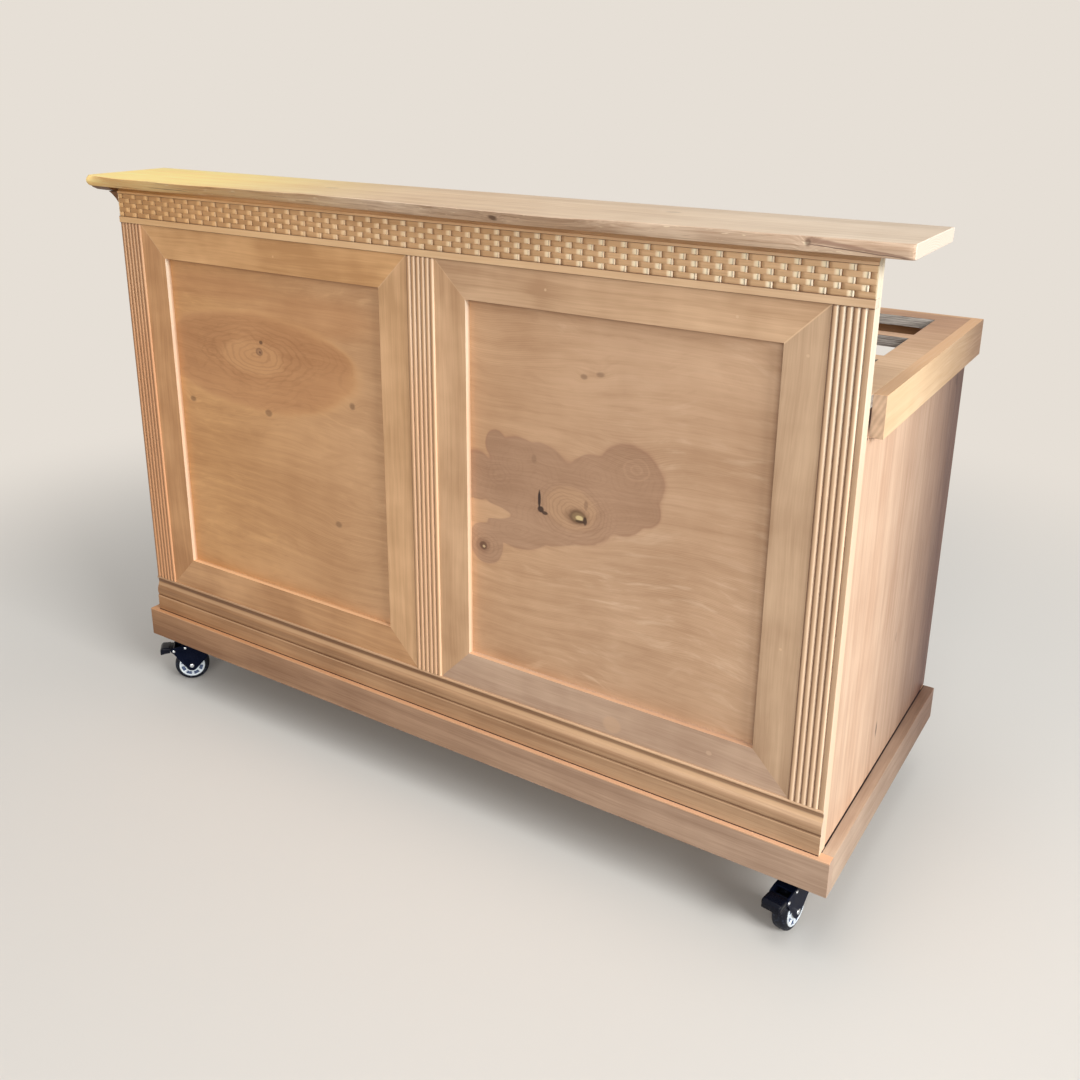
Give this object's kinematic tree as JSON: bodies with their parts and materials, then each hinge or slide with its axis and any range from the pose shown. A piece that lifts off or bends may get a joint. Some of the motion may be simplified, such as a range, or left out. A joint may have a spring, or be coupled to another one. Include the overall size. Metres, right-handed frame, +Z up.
{
  "type": "home bar",
  "caption": "Wooden home bar on locking swivel casters: panelled front wall with a raised top, and a lower counter with drop-in wells over open shelves at the back.",
  "frame": {"origin": "on the floor, at the bottom centre of the bounding box", "axes": "+X along the bar to the right for someone facing its panelled front, +Y from the panelled front to the server's side, +Z up"},
  "size_m": [1.626, 0.6874, 1.145],
  "materials": {
    "sheet_veneer": "stained and waxed oak veneer",
    "frame_wood": "stained and waxed",
    "trim_wood": "stained and waxed",
    "plinth_wood": "stained and waxed",
    "top_wood": "waxed, with a live front edge",
    "side_wood": "stained and waxed",
    "counter_wood": "waxed",
    "inner_wood": "bare board",
    "caster_metal": "black paint",
    "pedal_metal": "black paint",
    "wheel_hub": "light grey",
    "wheel_tyre": "black"
  },
  "bodies": {
    "cabinet": {"front_sheet": "sheet_veneer", "left_frame_bottom_rail": "frame_wood", "left_frame_right_stile": "frame_wood", "left_frame_top_rail": "frame_wood", "left_frame_left_stile": "frame_wood", "right_frame_bottom_rail": "frame_wood", "right_frame_right_stile": "frame_wood", "right_frame_top_rail": "frame_wood", "right_frame_left_stile": "frame_wood", "pilaster_left": "trim_wood", "pilaster_centre": "trim_wood", "pilaster_right": "trim_wood", "fillet_band": "trim_wood", "frieze": "trim_wood", "cove_moulding": "trim_wood", "base_moulding": "trim_wood", "bar_top": "top_wood", "corbel_left": "top_wood", "top_brackets": "inner_wood", "plinth_front": "plinth_wood", "plinth_left": "plinth_wood", "plinth_right": "plinth_wood", "plinth_back": "plinth_wood", "plinth_joists": "inner_wood", "floor_board": "inner_wood", "caster_blocks": "inner_wood", "side_panel_left": "side_wood", "side_panel_right": "side_wood", "centre_divider": "inner_wood", "shelf_left_lower": "inner_wood", "shelf_left_upper": "inner_wood", "shelf_right_lower": "inner_wood", "shelf_right_upper": "inner_wood", "shelf_cleats": "inner_wood", "counter_board": "counter_wood", "apron_left": "counter_wood", "apron_right": "counter_wood", "apron_rear": "counter_wood", "caster_plates": "caster_metal"},
    "swivel_front_left": {"caster_front_left_fork": "caster_metal"},
    "wheel_front_left": {"caster_front_left_hub": "wheel_hub", "caster_front_left_tyre": "wheel_tyre"},
    "pedal_front_left": {"caster_front_left_pedal": "pedal_metal"},
    "swivel_front_right": {"caster_front_right_fork": "caster_metal"},
    "wheel_front_right": {"caster_front_right_hub": "wheel_hub", "caster_front_right_tyre": "wheel_tyre"},
    "pedal_front_right": {"caster_front_right_pedal": "pedal_metal"},
    "swivel_rear_left": {"caster_rear_left_fork": "caster_metal"},
    "wheel_rear_left": {"caster_rear_left_hub": "wheel_hub", "caster_rear_left_tyre": "wheel_tyre"},
    "pedal_rear_left": {"caster_rear_left_pedal": "pedal_metal"},
    "swivel_rear_right": {"caster_rear_right_fork": "caster_metal"},
    "wheel_rear_right": {"caster_rear_right_hub": "wheel_hub", "caster_rear_right_tyre": "wheel_tyre"},
    "pedal_rear_right": {"caster_rear_right_pedal": "pedal_metal"}
  },
  "joints": [
    {"name": "swivel_front_left", "type": "hinge", "parent": "cabinet", "child": "swivel_front_left", "pos_m": [-0.713, -0.21186, 0.098], "axis": [0, 0, 1], "continuous": true},
    {"name": "roll_front_left", "type": "hinge", "parent": "swivel_front_left", "child": "wheel_front_left", "pos_m": [-0.7328, -0.23166, 0.038], "axis": [-0.7071, 0.7071, 0], "continuous": true},
    {"name": "brake_front_left", "type": "hinge", "parent": "swivel_front_left", "child": "pedal_front_left", "pos_m": [-0.75896, -0.25782, 0.078], "axis": [0.7071, -0.7071, 0], "range_deg": [0, 20]},
    {"name": "swivel_front_right", "type": "hinge", "parent": "cabinet", "child": "swivel_front_right", "pos_m": [0.713, -0.21186, 0.098], "axis": [0, 0, 1], "continuous": true},
    {"name": "roll_front_right", "type": "hinge", "parent": "swivel_front_right", "child": "wheel_front_right", "pos_m": [0.7091, -0.23958, 0.038], "axis": [-0.9903, 0.1392, 0], "continuous": true},
    {"name": "brake_front_right", "type": "hinge", "parent": "swivel_front_right", "child": "pedal_front_right", "pos_m": [0.70395, -0.27622, 0.078], "axis": [0.9903, -0.1392, 0], "range_deg": [0, 20]},
    {"name": "swivel_rear_left", "type": "hinge", "parent": "cabinet", "child": "swivel_rear_left", "pos_m": [-0.713, 0.26574, 0.098], "axis": [0, 0, 1], "continuous": true},
    {"name": "roll_rear_left", "type": "hinge", "parent": "swivel_rear_left", "child": "wheel_rear_left", "pos_m": [-0.73506, 0.28298, 0.038], "axis": [0.6157, 0.788, 0], "continuous": true},
    {"name": "brake_rear_left", "type": "hinge", "parent": "swivel_rear_left", "child": "pedal_rear_left", "pos_m": [-0.76422, 0.30576, 0.078], "axis": [-0.6157, -0.788, 0], "range_deg": [0, 20]},
    {"name": "swivel_rear_right", "type": "hinge", "parent": "cabinet", "child": "swivel_rear_right", "pos_m": [0.713, 0.26574, 0.098], "axis": [0, 0, 1], "continuous": true},
    {"name": "roll_rear_right", "type": "hinge", "parent": "swivel_rear_right", "child": "wheel_rear_right", "pos_m": [0.68583, 0.27252, 0.038], "axis": [0.2419, 0.9703, 0], "continuous": true},
    {"name": "brake_rear_right", "type": "hinge", "parent": "swivel_rear_right", "child": "pedal_rear_right", "pos_m": [0.64993, 0.28147, 0.078], "axis": [-0.2419, -0.9703, 0], "range_deg": [0, 20]}
  ]
}
